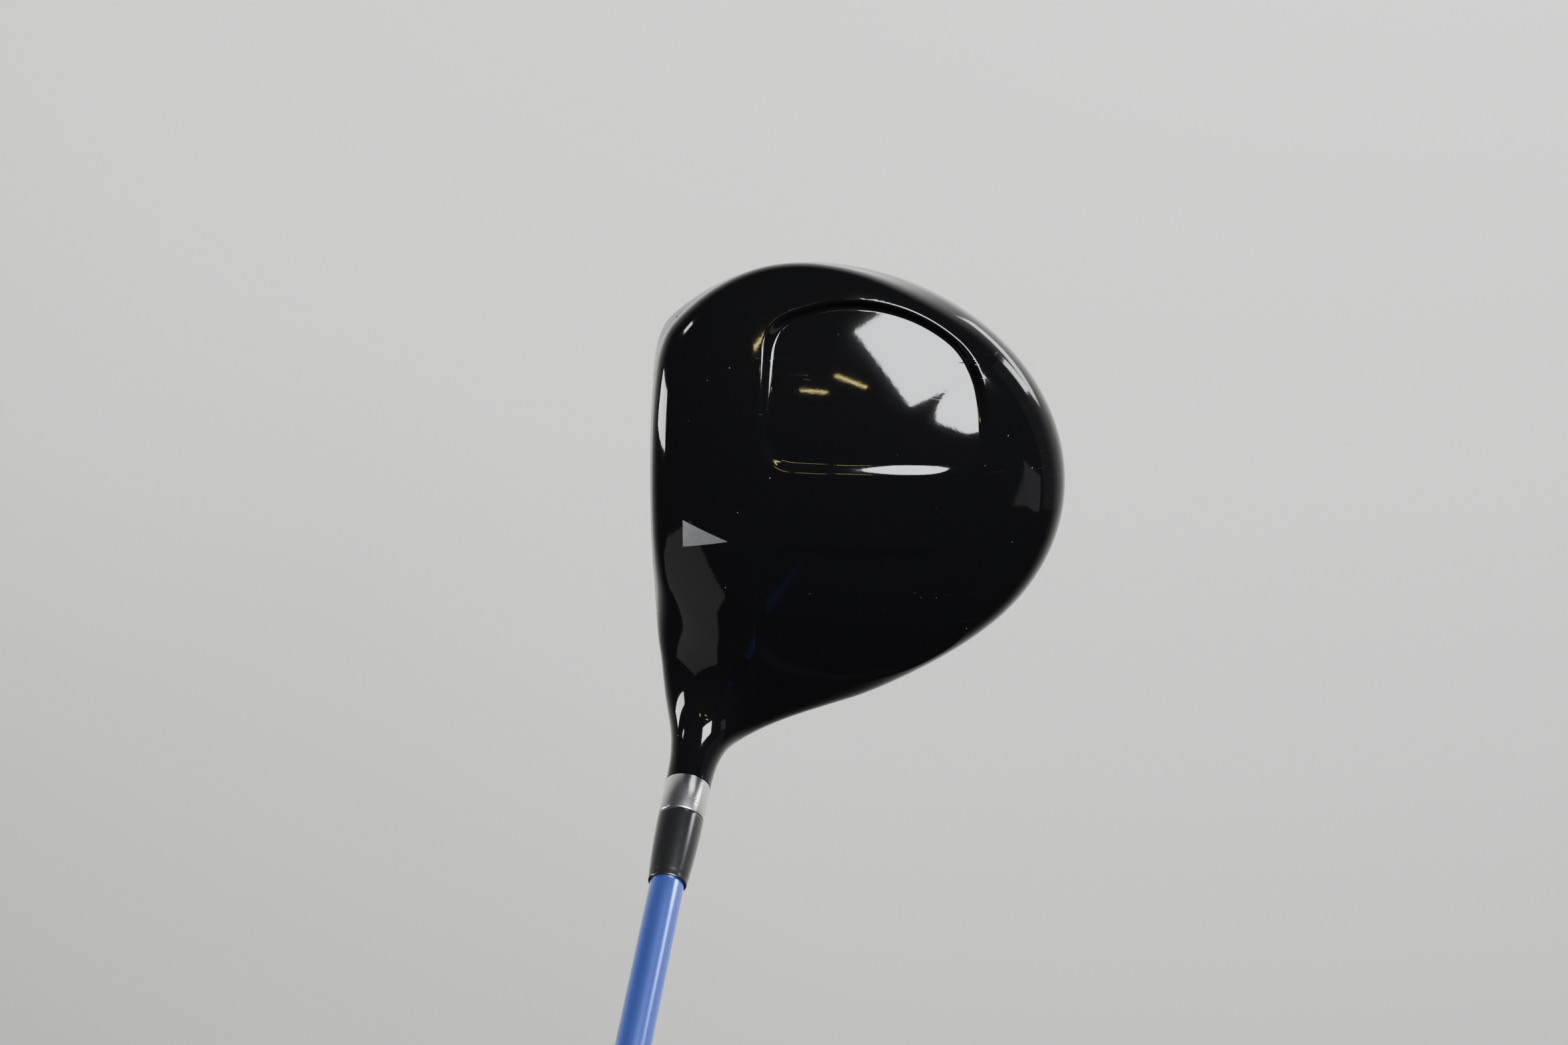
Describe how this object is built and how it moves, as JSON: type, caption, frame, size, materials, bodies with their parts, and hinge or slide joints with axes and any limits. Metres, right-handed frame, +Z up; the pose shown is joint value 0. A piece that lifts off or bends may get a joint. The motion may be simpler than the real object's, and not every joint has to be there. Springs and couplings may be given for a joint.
{
  "type": "golf driver",
  "caption": "Right-handed driver: hollow black head with two crown scoops, polished hosel collar, ferrule, blue shaft, rubber grip and a screw-held sole weight.",
  "frame": {"origin": "the point where the flat of the sole badge rests on the ground with the club at address", "axes": "+Z up from the ground, the face looks towards -Y, the toe points to -X and the heel and shaft to +X; the shaft rises at 59 degrees in the XZ plane"},
  "size_m": [0.7096, 0.1138, 0.997],
  "materials": {
    "crown_paint": "gloss black lacquer over the crown and neck",
    "sole_paint": "gloss black lacquer",
    "face_metal": "satin titanium",
    "score_paint": "white paint lines",
    "hosel_metal": "polished tube end",
    "plug_rubber": "matte plug",
    "badge_metal": "satin plate",
    "mark_silver": "silver paint",
    "port_metal": "satin dark metal",
    "weight_metal": "satin steel",
    "screw_metal": "satin dark steel",
    "glue": "dried hot-melt glue",
    "shaft_paint": "satin metallic blue over a graphite tube",
    "epoxy": "cured epoxy",
    "ferrule_plastic": "semi-gloss black",
    "tape": "paper tape",
    "grip_rubber": "matte black rubber"
  },
  "bodies": {
    "club": {"crown_shell": "crown_paint", "sole_shell": "sole_paint", "face_plate": "face_metal", "score_lines": "score_paint", "neck_cone": "crown_paint", "hosel_tube": "hosel_metal", "hosel_stop": "plug_rubber", "sole_badge": "badge_metal", "alignment_mark": "mark_silver", "weight_port": "port_metal", "hot_melt_pad": "glue", "shaft": "shaft_paint", "tip_plug": "plug_rubber", "epoxy_sleeve": "epoxy", "ferrule": "ferrule_plastic", "grip_tape": "tape", "grip_sleeve": "grip_rubber", "grip_cap": "grip_rubber"},
    "weight": {"weight_cartridge": "weight_metal"},
    "screw": {"weight_screw": "screw_metal", "screw_retainer": "screw_metal"}
  },
  "joints": [
    {"name": "weight_slide", "type": "slide", "parent": "club", "child": "weight", "axis": [0, 0.4067, -0.9135], "range_m": [0, 0.0042]},
    {"name": "screw_turn", "type": "hinge", "parent": "weight", "child": "screw", "pos_m": [0, 0.04357, 0.00699], "axis": [0, 0.4067, -0.9135], "range_deg": [0, 2160]}
  ],
  "couplings": [
    {"joint": "screw_turn", "follows": "weight_slide", "rad_per_m": 8975.9}
  ]
}
